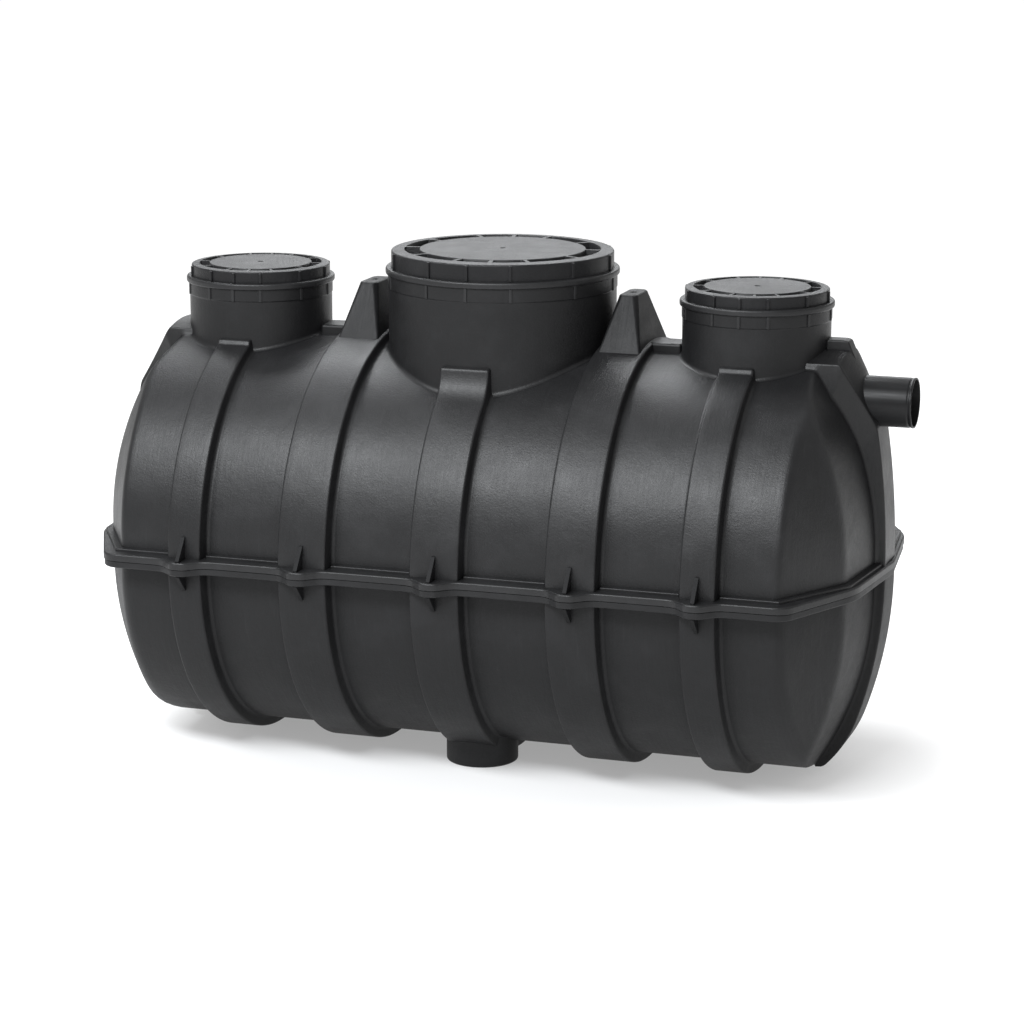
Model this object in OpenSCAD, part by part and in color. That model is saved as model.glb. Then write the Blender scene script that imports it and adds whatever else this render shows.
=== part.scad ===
// Septic tank: two moulded half shells bolted along a mid-height flange, five
// wrap-around ribs, three capped access necks, lifting horns, end bosses with
// an inlet opening and an outlet pipe, and a pair of round feet.
// X runs along the tank toward the outlet, Y across it, Z up from the floor.

/* [Tank body] */
// radius of the barrel-shaped body, outside
body_r = 437; // [410:1:460]
// height of the body's underside above the floor
belly_z = 24; // [18:1:40]
// how far the upper half's arc is centred above the lower half's
arc_rise = 36; // [28:1:44]
// height of the parting plane above the centre of the lower half's arc
part_rise = 16.5; // [12:0.5:20]
// wall thickness of the moulded shells
wall = 8; // [6:0.5:10]
// radius of the ends' upright curve
end_r = 712; // [690:1:760]
// how far that curve is centred above the arc of the upper half
end_rise = 18; // [10:1:24]
// how far it is centred below the arc of the lower half
end_drop = 31; // [20:1:36]
// length of the corner panels along the tank
corner_l = 133; // [115:1:150]
// room between a small neck and the end's curve, at the top of the outlet
end_gap = 17.1; // [10:0.1:24]

/* [Ribs] */
// depth of the ribs at the flange
rib_h = 37; // [32:1:42]
// depth of the ribs at the crown
rib_crown_h = 20; // [15:1:25]
// distance from the second ribs to the outermost ribs
rib_step = 277; // [270:1:290]
// width of the three inner ribs
rib_w = 114; // [100:1:118]
// width of the two outermost ribs
rib_w_out = 80; // [72:1:84]
// width of the rib down each end
end_rib_w = 114; // [100:1:118]
// how far in from the body's tip that rib's foot reaches
end_rib_in = 140; // [120:1:160]
// chamfer along the edges of the wrap-around ribs
rib_edge = 4; // [2:0.5:6]

/* [Flange] */
// how far the flange stands out along the sides
flange_w = 44; // [40:1:48]
// how far the flange stands out at the corner panels
flange_corner_w = 38; // [34:1:42]
// how far the flange stands out beyond the ends
flange_end_w = 24.7; // [22:0.1:28]
// thickness of the upper half's flange
flange_up_t = 16.5; // [14:0.5:18]
// thickness of the lower half's flange
flange_low_t = 15; // [13:0.5:17]
// height of the step along the foot of the upper half's wall
step_h = 6; // [4:0.5:8]
// width of that step
step_w = 15; // [12:0.5:18]
// how far the lug at each rib stands out from the flange
lug_out = 34; // [28:1:38]
// width of the lugs at their root
lug_w = 90; // [80:1:92]
// width of the lugs at their tip
lug_tip_w = 30; // [24:1:40]
// thickness of the gusset fins
gusset_t = 9; // [6:0.5:12]
// height of the gusset fins above the flange
gusset_up_h = 50; // [40:1:56]
// height of the gusset fins below the flange
gusset_low_h = 40; // [32:1:46]

/* [Access necks] */
// distance from the outermost rib to the axis of the small neck
neck_off = 3; // [0:0.5:6]
// radius of the small necks, outside
neck_r = 162.5; // [155:0.5:170]
// radius of the large middle neck, outside
main_r = 255; // [245:0.5:262]
// height of the small necks above the body's crown
neck_h = 109; // [90:1:130]
// height of the middle neck above the body's crown
main_h = 154; // [135:1:175]
// thickness of the rings
ring_t = 15; // [12:0.5:18]
// how far the rings stand out from the necks
ring_out = 6.5; // [5:0.5:9]
// how far the small lids stand back from their necks
lid_in = 5; // [3:0.5:8]
// how far the large lid stands back from its neck
main_lid_in = 6.2; // [4:0.1:9]
// height of the small lids above their rings
lid_h = 28; // [24:1:32]
// height of the large lid above its ring
main_lid_h = 40; // [34:1:44]
// thickness of the lids' skirts
lid_wall = 5; // [4:0.5:8]
// width of the small studs on rings and lids
stud_w = 8; // [5:0.5:10]
// how far the studs hang below the rings of the small necks
hang = 26; // [20:1:32]
// how far they hang below the ring of the middle neck
main_hang = 29; // [22:1:36]

/* [Lifting horns] */
// height of the horns above the ribs' crown
horn_h = 104; // [85:1:120]
// length of the horns across the tank, at the foot
horn_l = 270; // [250:1:290]
// length of the horns' tops across the tank
horn_top_l = 100; // [90:1:110]
// width of the horns' tops
horn_top_w = 42; // [36:1:48]
// how deep the horns' four-sided shape starts below the ribs' crown
horn_sink = 54; // [45:1:60]
// room between the middle neck and the feet of the horns
horn_gap = 4.3; // [3:0.1:8]

/* [End bosses] */
// height of the bosses' level top above the body's crown
boss_rise = 5; // [2:0.5:10]
// width of the bosses' level top
boss_w = 206; // [190:1:220]
// how far the bosses stand out beyond the body's ends
boss_out = 15; // [12:0.5:18]
// height of the sloped panel's lower edge below the outlet's axis
panel_drop = 48; // [40:1:53]
// how far the level top's edge lies back from the body's tip
top_back = 108; // [98:1:116]
// height of the ridge over the outlet, above its boss
ridge_h = 40; // [30:1:50]
// width of the ridge over the outlet
ridge_w = 44; // [36:1:52]
// how far the ridge's end lies back from the body's tip
ridge_back = 82; // [76:1:90]
// width of the ridges along the crown
spine_w = 74; // [64:1:84]

/* [Pipes and feet] */
// outside diameter of the outlet pipe
pipe_d = 110; // [100:1:115]
// wall of the outlet pipe
pipe_wall = 3.6; // [3:0.1:5]
// depth of the outlet's axis below the body's crown
outlet_drop = 87; // [82:1:92]
// height of the inlet's axis above the outlet's
inlet_rise = 15; // [10:1:18]
// how much thinner the outlet pipe is where it sits in its boss
pipe_step = 0.6; // [0.6:0.1:1]
// how far the outlet pipe reaches beyond the body's tip
pipe_out = 61; // [50:1:90]
// room between a small neck and the inner ends of the pipe and the seal
pipe_gap = 18.5; // [12:0.5:30]
// thickness of the inlet's seal
seal_t = 9; // [6:0.5:10]
// diameter of the round feet
foot_d = 162; // [140:1:170]
// distance of each foot's axis from the middle
foot_y = 147; // [140:1:155]

/* [Hidden] */
$fn = 96;
eps = 0.01;
seat = 0.3;              // gap kept under pieces that lie on a curved wall
far = 3000;              // reach of the shapes that only cut

// the ribs, horns and necks follow each other along the tank
horn_foot = (horn_top_w + (rib_w - horn_top_w)*horn_h/(horn_h + horn_sink))/2;
rib_x2 = main_r + horn_gap + horn_foot;
rib_x3 = rib_x2 + rib_step;
neck_x = rib_x3 + neck_off;

low_cz = body_r + belly_z;
up_cz = low_cz + arc_rise;
part_z = low_cz + part_rise;
crown_z = up_cz + body_r;
pipe_r = pipe_d/2;
outlet_z = crown_z - outlet_drop;
inlet_z = outlet_z + inlet_rise;

end_up_cz = up_cz + end_rise;
end_low_cz = low_cz - end_drop;

// the end's curve has come back this far at the height of the outlet's top
end_fall = end_r - sqrt(end_r*end_r - pow(outlet_z + pipe_r - end_up_cz, 2));
body_end = neck_x + neck_r + end_gap + end_fall;
split_x = rib_x3 + rib_w_out/2 + 2;   // where the end mouldings begin

end_a = 6.1;             // angle of each end face off square
cham_a = 31;             // angle of the corner panels
end_d = body_end*cos(end_a);
cham_d = (body_end - corner_l)*cos(cham_a) + body_r*sin(cham_a);

fl_top = part_z + flange_up_t;
fl_bot = part_z - flange_low_t;
fl_cham_a = 25.4;        // the flange's corners are cut a little squarer
flange_y = body_r + flange_w;
fl_end_d = end_d + flange_end_w;
fl_cham_d = cham_d + flange_corner_w;

rib_r = body_r + rib_h;
rib_up_cz = crown_z + rib_crown_h - rib_r;
rib_low_cz = rib_r;      // the ribs' undersides lie on the floor
rib_crown = crown_z + rib_crown_h;

neck_z = crown_z + neck_h;
main_z = crown_z + main_h;
horn_z = rib_crown + horn_h;

pipe_end = body_end + pipe_out;
pipe_in = neck_x + neck_r + pipe_gap;  // inner end of the pipe and of the seal

boss_z = crown_z + boss_rise;
boss_x = body_end + boss_out;      // the boss's face at the flange
face_x = body_end - 10;            // lower edge of the sloped panel
face_z = outlet_z - panel_drop;
top_x = body_end - top_back;       // upper edge of the sloped panel
ridge_x = body_end - ridge_back;   // end of the ridge over the outlet
bend = 8;                          // blunted edge between panel and top

// the frame's origin is under the middle of the overall box
mid_x = (fl_end_d/cos(end_a) - pipe_end)/2;

// ---------- shared shapes ----------

module mid() translate([mid_x, 0, 0]) children();
module left() mirror([1, 0, 0]) children();

// a y-z section drawn along x from x0 to x1
module along_x(x0, x1) {
  translate([x0, 0, 0]) rotate([90, 0, 90]) linear_extrude(x1 - x0) children();
}

// an x-z section drawn across y
module across_y(y0, y1) {
  translate([0, y1, 0]) rotate([90, 0, 0]) linear_extrude(y1 - y0) children();
}

// the barrel of the upper or lower half, grown by g
module barrel(x0, x1, g, up) along_x(x0, x1)
  translate([0, up ? up_cz : low_cz]) circle(r = body_r + g);

// the round outline that the ribs of a half follow, grown by g
module rib_round(x0, x1, g, up) along_x(x0, x1)
  translate([0, up ? rib_up_cz : rib_low_cz]) circle(r = rib_r + g);

// upright curve of an end or corner panel whose outward normal is at angle a
module panel(a, d, g, up) rotate([0, 0, a]) across_y(-far, far)
  translate([d - end_r, up ? end_up_cz : end_low_cz]) circle(r = end_r + g);

// solid right-hand end of the body from x0 outward, grown by g
module end_solid(x0, g, up) intersection() {
  barrel(x0, body_end + body_r/10, g, up);
  panel(end_a, end_d, g, up);
  panel(-end_a, end_d, g, up);
  panel(cham_a, cham_d, g, up);
  panel(-cham_a, cham_d, g, up);
}

module above(z) translate([-far, -far, z]) cube([2*far, 2*far, far]);
module below(z) translate([-far, -far, z - far]) cube([2*far, 2*far, far]);
module half_space(up) if (up) above(part_z); else below(part_z);

module neck_cut(x, r) translate([x, 0, up_cz]) cylinder(r = r, h = far);
module pipe_hole(z, r) translate([split_x, 0, z]) rotate([0, 90, 0])
  cylinder(r = r, h = far);

// ---------- shells ----------

module shell_half(up) difference() {
  intersection() {
    barrel(-split_x, split_x, 0, up);
    half_space(up);
  }
  barrel(-split_x - 1, split_x + 1, -wall, up);
  if (up) {
    for (s = [-1, 1]) neck_cut(s*neck_x, neck_r - wall);
    neck_cut(0, main_r - wall);
  }
}

module end_half(up) difference() {
  intersection() {
    end_solid(split_x, 0, up);
    half_space(up);
  }
  end_solid(split_x - 1, -wall, up);
  if (up) neck_cut(neck_x, neck_r - wall);
}

module shell_lower() color("#2b2b2c") mid() shell_half(false);
module shell_upper() color("#2b2b2c") mid() shell_half(true);
module end_lower_right() color("#2b2b2c") mid() end_half(false);
module end_lower_left() color("#2b2b2c") mid() left() end_half(false);
module end_upper_right() color("#2b2b2c") mid() difference() {
  end_half(true);
  pipe_hole(outlet_z, pipe_r - seat);
}
module end_upper_left() color("#2b2b2c") mid() left() difference() {
  end_half(true);
  pipe_hole(inlet_z, pipe_r + seal_t);
}

// ---------- flange ----------

// the half plane behind a straight edge at distance d, facing angle a
module behind(a, d) rotate(a) translate([d - 2*far, -far]) square(2*far);

// plan of the body or flange: straight sides, two end faces, two corners
module plan(y, ed, ca, cd) intersection() {
  square([2*far, 2*y], center = true);
  plan_end(ed, ca, cd);
  mirror([1, 0]) plan_end(ed, ca, cd);
}
module plan_end(ed, ca, cd) intersection() {
  behind(end_a, ed);
  behind(-end_a, ed);
  behind(ca, cd);
  behind(-ca, cd);
}
module body_plan(g) plan(body_r + g, end_d + g, cham_a, cham_d + g);

module flange2d(g) {
  plan(flange_y + g, fl_end_d + g, fl_cham_a, fl_cham_d + g);
  for (x = rib_xs(), m = [0, 1]) mirror([0, m]) translate([x, flange_y - 3])
    polygon([[-lug_w/2 - g, 0], [lug_w/2 + g, 0], [lug_tip_w/2 + g/2, lug_out + 3 + g],
      [-lug_tip_w/2 - g/2, lug_out + 3 + g]]);
}

function rib_xs() = [-rib_x3, -rib_x2, 0, rib_x2, rib_x3];
function rib_ws() = [rib_w_out, rib_w, rib_w, rib_w, rib_w_out];

module flange_lower() color("#303031") mid() difference() {
  translate([0, 0, fl_bot]) linear_extrude(flange_low_t) flange2d(-2);
  translate([0, 0, fl_bot - 1]) linear_extrude(flange_low_t + 2) body_plan(seat);
}

module flange_upper() color("#303031") mid() difference() {
  union() {
    translate([0, 0, part_z]) linear_extrude(flange_up_t - 3) flange2d(0);
    translate([0, 0, fl_top - 3 - eps]) linear_extrude(3 + eps) flange2d(-3);
    // a low step between the ribs, where the wall meets the flange
    translate([0, 0, fl_top - eps]) linear_extrude(step_h + eps) difference() {
      body_plan(step_w);
      for (i = [0:4]) translate([rib_xs()[i] - rib_ws()[i]/2 - 3, -far])
        square([rib_ws()[i] + 6, 2*far]);
      square([2*far, end_rib_w + 6], center = true);
    }
  }
  translate([0, 0, part_z - 1]) linear_extrude(flange_up_t + step_h + 2)
    body_plan(seat);
}

// half width of the ribs' outer face at height z, with room to seat on it
function rib_up_y(z) = sqrt(rib_r*rib_r - (z - rib_up_cz)*(z - rib_up_cz)) + seat;
function rib_low_y(z) = sqrt(rib_r*rib_r - (z - rib_low_cz)*(z - rib_low_cz)) + seat;

fin_y = flange_y + lug_out - 6;    // tips of the fins, just inside the lugs' tips

// triangular fin on each side of every rib, standing on the flange
module fin_up(x) translate([x - gusset_t/2, 0, 0]) rotate([90, 0, 90])
  linear_extrude(gusset_t)
  polygon([[rib_up_y(fl_top), fl_top], [fin_y, fl_top],
    [fin_y, fl_top + 3],
    [rib_up_y(fl_top + gusset_up_h) + 3, fl_top + gusset_up_h],
    [rib_up_y(fl_top + gusset_up_h), fl_top + gusset_up_h],
    [rib_up_y(fl_top + gusset_up_h/2), fl_top + gusset_up_h/2]]);
module fin_low(x) translate([x - gusset_t/2, 0, 0]) rotate([90, 0, 90])
  linear_extrude(gusset_t)
  polygon([[rib_low_y(fl_bot), fl_bot], [fin_y, fl_bot],
    [fin_y, fl_bot - 3],
    [rib_low_y(fl_bot - gusset_low_h) + 3, fl_bot - gusset_low_h],
    [rib_low_y(fl_bot - gusset_low_h), fl_bot - gusset_low_h],
    [rib_low_y(fl_bot - gusset_low_h/2), fl_bot - gusset_low_h/2]]);

module gussets_upper() color("#2e2e2f") mid()
  for (x = rib_xs(), m = [0, 1]) mirror([0, m, 0]) fin_up(x);
module gussets_lower() color("#2e2e2f") mid()
  for (x = rib_xs(), m = [0, 1]) mirror([0, m, 0]) fin_low(x);

// ---------- ribs ----------

// a rib as a disc with chamfered edges, turned about the tank's long axis
module rib_disc(i, up) translate([rib_xs()[i], 0, up ? rib_up_cz : rib_low_cz])
  rotate([0, 90, 0]) rotate_extrude() polygon([
    [0, -rib_ws()[i]/2], [rib_r - rib_edge, -rib_ws()[i]/2],
    [rib_r, -rib_ws()[i]/2 + rib_edge], [rib_r, rib_ws()[i]/2 - rib_edge],
    [rib_r - rib_edge, rib_ws()[i]/2], [0, rib_ws()[i]/2]]);

module rib_upper(i) {
  x = rib_xs()[i];
  w = rib_ws()[i];
  nr = i == 0 || i == 4 ? neck_r : main_r;
  nx = i == 0 ? -neck_x : i == 4 ? neck_x : 0;
  // the ribs under the necks end in a small level ledge against the neck
  ledge = crown_z - (i == 2 ? 23 : 6);
  color("#2d2d2e") mid() difference() {
    intersection() {
      union() {
        rib_disc(i, true);
        if (i != 1 && i != 3) translate([x - w/2, -nr - 8, up_cz])
          cube([w, 2*nr + 16, ledge - up_cz]);
      }
      above(fl_top);
    }
    barrel(x - w, x + w, seat, true);
    neck_cut(nx, nr + seat);
  }
}

module rib_lower(i) {
  x = rib_xs()[i];
  w = rib_ws()[i];
  color("#2d2d2e") mid() difference() {
    intersection() {
      rib_disc(i, false);
      below(fl_bot);
    }
    barrel(x - w, x + w, seat, false);
  }
}

module rib_lower_1() rib_lower(0);
module rib_lower_2() rib_lower(1);
module rib_lower_3() rib_lower(2);
module rib_lower_4() rib_lower(3);
module rib_lower_5() rib_lower(4);
module rib_upper_1() rib_upper(0);
module rib_upper_2() rib_upper(1);
module rib_upper_3() rib_upper(2);
module rib_upper_4() rib_upper(3);
module rib_upper_5() rib_upper(4);

// rib that follows the end's curve further out, down to the belly
module end_rib2d() intersection() {
  translate([boss_x - end_r, end_low_cz]) circle(r = end_r);
  translate([body_end - end_rib_in, belly_z]) square([far, fl_bot - belly_z]);
}
module end_rib_lower() difference() {
  across_y(-end_rib_w/2, end_rib_w/2) end_rib2d();
  end_solid(rib_x3, seat, false);
}
module end_rib_lower_right() color("#2d2d2e") mid() end_rib_lower();
module end_rib_lower_left() color("#2d2d2e") mid() left() end_rib_lower();

// ---------- end bosses ----------

// side view: a gently bowed face up to the sloped panel, then the level top
module boss2d() {
  rise = face_z - fl_top;
  lean = boss_x - face_x;
  bow_r = (rise*rise + lean*lean)/(2*lean);
  intersection() {
    translate([boss_x - bow_r, fl_top]) circle(r = bow_r);
    translate([split_x, fl_top]) square([far, rise]);
  }
  polygon([[split_x, face_z], [face_x, face_z], [top_x + bend, boss_z - 0.75*bend],
    [top_x, boss_z], [split_x, boss_z]]);
}

module boss() difference() {
  intersection() {
    across_y(-boss_w/2, boss_w/2) boss2d();
    along_x(split_x, far) polygon([[-boss_w/2, boss_z], [-boss_w/2, boss_z - 14],
      [-end_rib_w/2, face_z - 4], [-end_rib_w/2, fl_top - 1],
      [end_rib_w/2, fl_top - 1], [end_rib_w/2, face_z - 4],
      [boss_w/2, boss_z - 14], [boss_w/2, boss_z]]);
  }
  end_solid(split_x - 1, seat, true);
  neck_cut(neck_x, neck_r + seat);
}

module boss_outlet() color("#2e2e2f") mid() difference() {
  boss();
  pipe_hole(outlet_z, pipe_r - seat);
}
module boss_inlet() color("#2e2e2f") mid() left() difference() {
  boss();
  pipe_hole(inlet_z, pipe_r + seal_t);
}

// upright ridge over the outlet
module outlet_ridge() color("#2e2e2f") mid() difference() {
  across_y(-ridge_w/2, ridge_w/2) polygon([[neck_x, boss_z], [top_x, boss_z],
    [top_x + bend, boss_z - 0.75*bend], [face_x, face_z], [face_x, outlet_z + 3],
    [face_x - 36, outlet_z + pipe_r + 3], [ridge_x + 6, boss_z + ridge_h - 9],
    [ridge_x, boss_z + ridge_h - 2], [ridge_x - bend, boss_z + ridge_h],
    [neck_x, boss_z + ridge_h]]);
  neck_cut(neck_x, neck_r + seat);
  pipe_hole(outlet_z, pipe_r);
}

// ridge along the crown between the necks and the horns
module crown_ridges() color("#2e2e2f") mid() for (m = [0, 1]) mirror([m, 0, 0])
  difference() {
    translate([rib_x2 + rib_w/2, -spine_w/2, up_cz])
      cube([neck_x - rib_x2 - rib_w/2, spine_w, rib_crown - up_cz]);
    barrel(0, neck_x + 1, seat, true);
    neck_cut(neck_x, neck_r + seat);
  }

// ---------- horns ----------

// four-sided horn over a rib, with its corners cut and a dimple in its top
module horn(x) translate([x, 0, 0]) difference() {
  hull() {
    translate([-rib_w/2, -horn_l/2, rib_crown - horn_sink]) cube([rib_w, horn_l, eps]);
    translate([0, 0, horn_z - eps]) linear_extrude(eps) {
      square([horn_top_w, horn_top_l - 26], center = true);
      square([horn_top_w - 16, horn_top_l], center = true);
    }
  }
  rib_round(-rib_w, rib_w, seat, true);
  translate([0, 0, horn_z - 30]) cylinder(d = 12, h = 40);
}
module horn_left() color("#2f2f30") mid() horn(-rib_x2);
module horn_right() color("#2f2f30") mid() horn(rib_x2);

// ---------- necks, rings, lids ----------

module neck(x, r, ztop) color("#2b2b2c") mid() difference() {
  translate([x, 0, up_cz]) cylinder(r = r, h = ztop - up_cz);
  translate([x, 0, up_cz - 1]) cylinder(r = r - wall, h = far);
  barrel(x - 2*r, x + 2*r, seat, true);
}
module neck_left() neck(-neck_x, neck_r, neck_z);
module neck_middle() neck(0, main_r, main_z);
module neck_right() neck(neck_x, neck_r, neck_z);

stud_at = [0, 22, 56, 90, 124, 158, 180, 202, 236, 270, 304, 338];

// small upright studs from z0 to z1 that stand out by o from radius r
module studs(r, o, z0, z1) intersection() {
  for (a = stud_at) rotate([0, 0, a - 90])
    translate([r - 5, -stud_w/2, z0]) cube([o + 10, stud_w, z1 - z0]);
  translate([0, 0, z0]) cylinder(r = r + o, h = z1 - z0);
}

module ring(x, r, z0, drop) color("#303031") mid() translate([x, 0, z0]) difference() {
  union() {
    cylinder(r = r + ring_out, h = ring_t);
    translate([0, 0, -drop]) studs(r, 4, 0, drop + 1);
  }
  translate([0, 0, -far]) cylinder(r = r + seat, h = far);
  translate([0, 0, -1]) cylinder(r = r - wall, h = ring_t + 2);
}
module ring_left() ring(-neck_x, neck_r, neck_z, hang);
module ring_middle() ring(0, main_r, main_z, main_hang);
module ring_right() ring(neck_x, neck_r, neck_z, hang);

module lid(x, r, z0, h) color("#343435") mid() translate([x, 0, z0]) difference() {
  union() {
    cylinder(r = r, h = h - 3);
    translate([0, 0, h - 3 - eps]) cylinder(r1 = r, r2 = r - 3, h = 3 + eps);
    studs(r, 4, 0, h - 4);
  }
  // hollow underside
  translate([0, 0, -1]) cylinder(r = r - lid_wall, h = h - 11);
  // ring of pockets round the top, with a bar between each two
  difference() {
    translate([0, 0, h - 6]) cylinder(r = 0.935*r, h = far);
    translate([0, 0, h - 7]) cylinder(r = 0.785*r, h = 2*far);
    for (a = stud_at) rotate([0, 0, a - 79])
      translate([0.5*r, -0.03*r, h - 7]) cube([0.5*r, 0.06*r, 10]);
  }
  translate([0, 0, h - 2]) cylinder(d = 10, h = 5);
}
module lid_left() lid(-neck_x, neck_r - lid_in, neck_z + ring_t, lid_h);
module lid_middle() lid(0, main_r - main_lid_in, main_z + ring_t, main_lid_h);
module lid_right() lid(neck_x, neck_r - lid_in, neck_z + ring_t, lid_h);

// ---------- pipe, seal, feet ----------

module outlet_pipe() color("#262627") mid() translate([0, 0, outlet_z])
  rotate([0, 90, 0]) rotate_extrude() polygon([
    [pipe_r - pipe_wall, pipe_in], [pipe_r - pipe_step, pipe_in],
    [pipe_r - pipe_step, face_x + 2], [pipe_r, face_x + 2], [pipe_r, pipe_end - 1.5],
    [pipe_r - 1.5, pipe_end], [pipe_r - pipe_wall, pipe_end]]);

// rubber sleeve in the inlet, cut off along the boss's sloped panel
module inlet_seal() color("#1c1c1d") mid() left() intersection() {
  translate([pipe_in, 0, inlet_z]) rotate([0, 90, 0]) difference() {
    cylinder(r = pipe_r + seal_t - seat, h = far);
    translate([0, 0, -1]) cylinder(r = pipe_r + 0.5, h = 2*far);
  }
  across_y(-boss_w/2, boss_w/2) polygon([[split_x, fl_top], [face_x, fl_top],
    [face_x, face_z], [top_x + bend, boss_z - 0.75*bend], [split_x, boss_z]]);
}

module foot() difference() {
  difference() {
    translate([0, foot_y, 0]) rotate_extrude() polygon([[0, 0], [foot_d/2 - 5, 0],
      [foot_d/2, 5], [foot_d/2, low_cz], [0, low_cz]]);
    barrel(-foot_d, foot_d, seat, false);
  }
  rib_round(-rib_w/2 - seat, rib_w/2 + seat, seat, false);
}
module feet() color("#2a2a2b") mid() for (m = [0, 1]) mirror([0, m, 0]) foot();

shell_lower();
end_lower_left();
end_lower_right();
shell_upper();
end_upper_left();
end_upper_right();
flange_lower();
flange_upper();
gussets_lower();
gussets_upper();
rib_lower_1();
rib_lower_2();
rib_lower_3();
rib_lower_4();
rib_lower_5();
rib_upper_1();
rib_upper_2();
rib_upper_3();
rib_upper_4();
rib_upper_5();
end_rib_lower_left();
end_rib_lower_right();
boss_inlet();
boss_outlet();
outlet_ridge();
crown_ridges();
horn_left();
horn_right();
neck_left();
neck_middle();
neck_right();
ring_left();
ring_middle();
ring_right();
lid_left();
lid_middle();
lid_right();
outlet_pipe();
inlet_seal();
feet();
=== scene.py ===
"""Septic tank: the looks of its moulded shells, ribs, necks and lids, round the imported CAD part.

Lengths are in metres. Sizes that the CAD nodes' boxes give are read from them, so the skins
follow the part. Shapes that repeat at both ends are worked out from the tank's middle, with x
towards the outlet, and to_frame() puts them in place. A side is 1 for the outlet's, right end or
the rear, and -1 for the inlet's, left end or the front.
"""

import itertools
import math

import bmesh
import bpy
import numpy as np
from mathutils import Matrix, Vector


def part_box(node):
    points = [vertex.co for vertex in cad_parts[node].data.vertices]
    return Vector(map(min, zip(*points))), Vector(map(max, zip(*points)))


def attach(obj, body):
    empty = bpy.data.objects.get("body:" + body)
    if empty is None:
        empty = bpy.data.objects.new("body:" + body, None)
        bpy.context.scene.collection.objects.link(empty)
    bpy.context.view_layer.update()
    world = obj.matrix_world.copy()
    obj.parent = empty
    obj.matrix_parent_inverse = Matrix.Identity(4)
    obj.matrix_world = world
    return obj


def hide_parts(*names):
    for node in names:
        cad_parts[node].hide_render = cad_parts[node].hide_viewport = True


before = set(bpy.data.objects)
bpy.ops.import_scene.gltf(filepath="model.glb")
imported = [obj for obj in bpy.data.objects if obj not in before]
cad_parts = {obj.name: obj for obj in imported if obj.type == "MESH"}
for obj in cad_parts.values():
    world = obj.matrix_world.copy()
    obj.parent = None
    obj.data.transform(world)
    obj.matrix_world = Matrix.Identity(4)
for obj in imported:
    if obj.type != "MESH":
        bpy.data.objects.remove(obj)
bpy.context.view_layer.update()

# ---------- sizes read from the CAD nodes ----------


def corners(node):
    """Lowest and highest corner of a CAD node's box."""
    low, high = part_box(node)
    return np.array(low), np.array(high)


def centre_of(node):
    """Middle of a CAD node's box."""
    low, high = corners(node)
    return (low + high) / 2


def half_of(node):
    """Half the length, width and height of a CAD node's box."""
    low, high = corners(node)
    return (high - low) / 2


# the barrel: its middle, half its length, its radius, the parting plane and its two arcs' centres
MID_X = centre_of("shell_upper")[0]
SPLIT, BODY_R = half_of("shell_upper")[:2]
PART_Z = corners("shell_upper")[0][2]
UP_CZ = corners("shell_upper")[1][2] - BODY_R
LOW_CZ = corners("shell_lower")[0][2] + BODY_R
# how far the ends reach from the middle
TIP = corners("end_lower_right")[1][0] - MID_X
# the ribs round the barrel, and the necks that three of them meet
RIB_NUMBERS = range(1, 6)
RIB_R = half_of("rib_upper_2")[1]
RIB_TOP = corners("rib_upper_2")[1][2]
RIB_XS = [centre_of(f"rib_lower_{number}")[0] - MID_X for number in RIB_NUMBERS]
RIB_HALVES = [half_of(f"rib_lower_{number}")[0] for number in RIB_NUMBERS]
NECK_AT_RIB = {1: "neck_left", 3: "neck_middle", 5: "neck_right"}
# the flange's plate, on which a low step runs along the wall
FLANGE_TOP = PART_Z + 0.0165
FLANGE_LOW = corners("flange_lower")[0][2]
FLANGE_TIP = corners("flange_upper")[1][0] - MID_X
# the end ribs and the bosses
END_RIB_HALF = half_of("end_rib_lower_right")[1]
BOSS_HALF = half_of("boss_inlet")[1]
BOSS_Z = corners("boss_inlet")[1][2]

# ---------- sizes of the ends, as in the CAD source ----------

# radius of the ends' panels, and how far its centre lies above the barrel's own in the upper half
# and below it in the lower half
END_R = 0.712
END_RISE = 0.018
END_DROP = 0.031
# how far an end's own two panels and its corner panels are turned from square, and how far
# behind the tip the corner panels meet the barrel's widest line
END_TURN = math.radians(6.1)
CORNER_TURN = math.radians(31)
CORNER_LENGTH = 0.133
FACE_REACH = TIP * math.cos(END_TURN)
CORNER_REACH = (TIP - CORNER_LENGTH) * math.cos(CORNER_TURN) + BODY_R * math.sin(CORNER_TURN)

# the end ribs' outer line is a long arc from the flange down and a tight one at the belly
LONG_R = 0.979
TIGHT_R = 0.280
TIGHT_TURN = math.radians(19.6)
# how far the end ribs and the bosses' stems reach at the flange
BOSS_X = TIP + 0.015
# a boss's sloped panel: its foot as (x, height), the height of its top and how far that lies
# behind the tip, for each side
PANEL_FOOT = (TIP - 0.010, 0.799)
PANEL_TOP = BOSS_Z - 0.006
PANEL_BACK = {1: 0.084, -1: 0.100}
# between these heights the stem widens, up to this half width
FUNNEL_Z = PANEL_FOOT[1] - 0.010
FUNNEL_TOP = BOSS_Z - 0.014
FUNNEL_HALF = BOSS_HALF - 0.008
# how far a boss swells in its middle, and the heights where that starts and where it is full:
# the outlet's swells over its sloped panel too, the inlet's only above its seal
SWELL = {1: (0.022, FUNNEL_Z, BOSS_Z - 0.045), -1: (0.012, BOSS_Z - 0.012, BOSS_Z)}

# ---------- wall and softness of the moulding ----------

WALL = 0.008
FILLET = 0.008
EDGE = 0.005
# a rounding takes at most this share of the line or wall beside it
ROUND_SHARE = 0.45
# a raised band is this much narrower at its face than at its foot, on each side
DRAFT = 0.0015
# fillets start this far off the body, so that no two faces lie in one another
LIFT = 0.0002
# how soft the creases are at the corners and up the end, in the upper and in the lower half
CREASES = {True: (0.009, 0.006), False: (0.018, 0.007)}
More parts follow.
